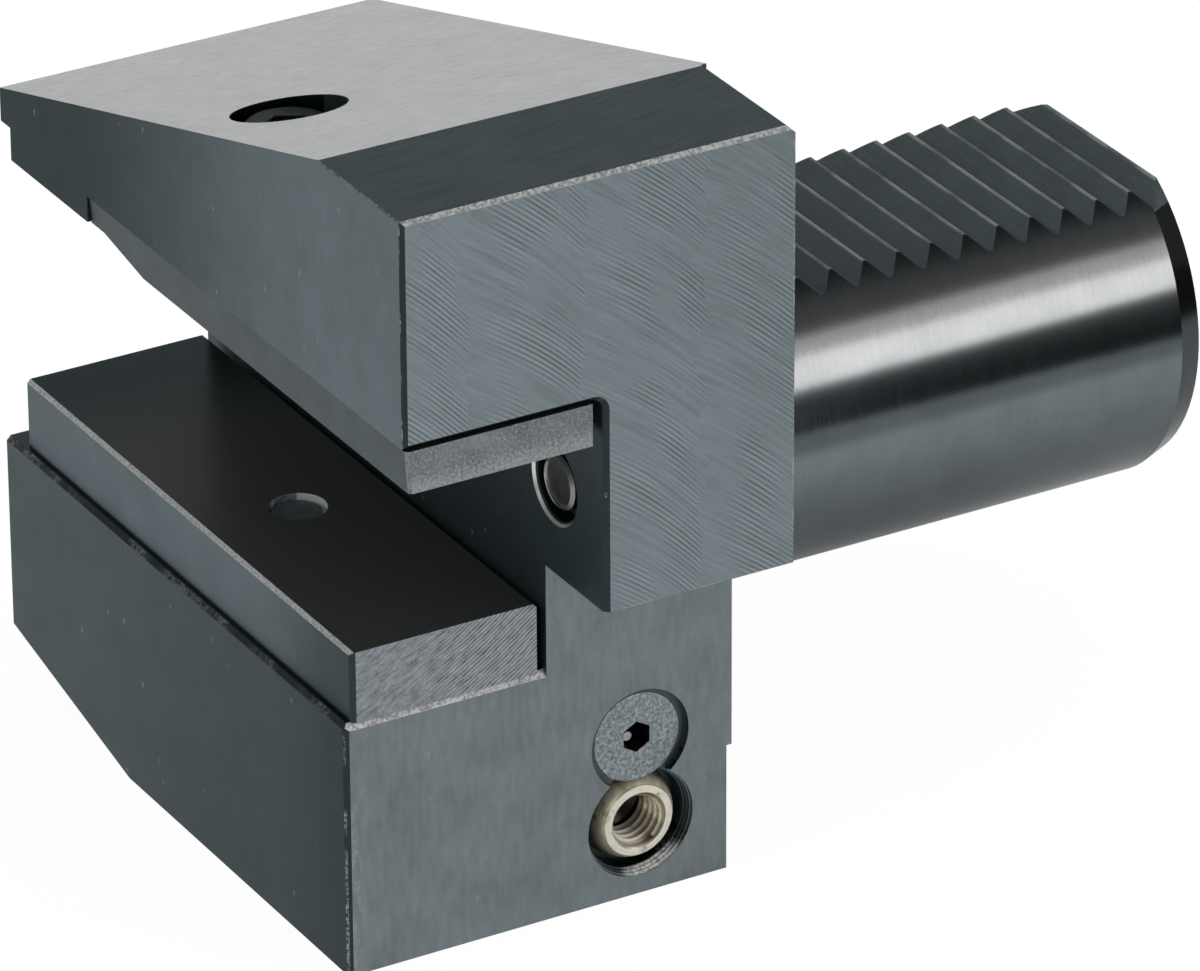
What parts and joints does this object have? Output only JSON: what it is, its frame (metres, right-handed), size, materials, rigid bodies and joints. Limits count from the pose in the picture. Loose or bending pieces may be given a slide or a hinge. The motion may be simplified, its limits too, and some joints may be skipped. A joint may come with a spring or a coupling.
{
  "type": "vdi tool holder",
  "caption": "Radial overhead holder with toothed round shank, side slot for square turning tools, lifting clamp plate and swivelling coolant nozzle.",
  "frame": {"origin": "where the axis of the toothed shank meets the flange face", "axes": "+Y runs out along the shank, away from the block; +X points the way the cutting end of the turning tool points; +Z is the toothed side of the shank"},
  "size_m": [0.085, 0.107, 0.0874],
  "materials": {
    "blackened_steel": "blackened milled and ground steel with bright worn edges",
    "matt_steel": "blackened steel, finely blasted",
    "hardened_steel": "hardened, blackened and ground",
    "black_screw": "black oxide",
    "grey_screw": "grey phosphated, matt",
    "bright_steel": "ground bright",
    "spring_steel": "drawn wire",
    "brass": "turned brass, slightly dulled by oil",
    "seal_rubber": "black nitrile rubber"
  },
  "bodies": {
    "holder": {"holder_body": "blackened_steel", "seat_bar": "matt_steel", "seat_bar_screw": "black_screw", "seat_bar_pins": "bright_steel", "plate_return_spring": "spring_steel", "nozzle_seal": "seal_rubber", "nozzle_keeper_screw": "grey_screw", "wall_channel_plug": "bright_steel", "cross_channel_plug": "black_screw", "riser_channel_plug": "black_screw", "flange_seal_ring": "seal_rubber"},
    "lift_plate": {"clamp_plate": "hardened_steel", "plate_guide_screw": "black_screw"},
    "front_screw": {"clamp_screw_front": "black_screw"},
    "back_screw": {"clamp_screw_back": "black_screw"},
    "nozzle": {"coolant_nozzle": "brass"}
  },
  "joints": [
    {"name": "plate_lift", "type": "slide", "parent": "holder", "child": "lift_plate", "axis": [0, 0, 1], "range_m": [0, 0.004], "deforming": ["plate_return_spring"]},
    {"name": "front_screw_turn", "type": "hinge", "parent": "lift_plate", "child": "front_screw", "pos_m": [0.0214, -0.03265, -0.0214], "axis": [0, 0, 1], "range_deg": [0, 823]},
    {"name": "back_screw_turn", "type": "hinge", "parent": "lift_plate", "child": "back_screw", "pos_m": [-0.0206, -0.03265, -0.0214], "axis": [0, 0, 1], "range_deg": [0, 823]},
    {"name": "nozzle_swivel", "type": "hinge", "parent": "holder", "child": "nozzle", "pos_m": [0.0272, -0.0106, -0.0295], "axis": [0, 1, 0], "range_deg": [-15, 15]}
  ],
  "couplings": [
    {"joint": "front_screw_turn", "follows": "plate_lift", "rad_per_m": 3590.4},
    {"joint": "back_screw_turn", "follows": "plate_lift", "rad_per_m": 3590.4}
  ]
}
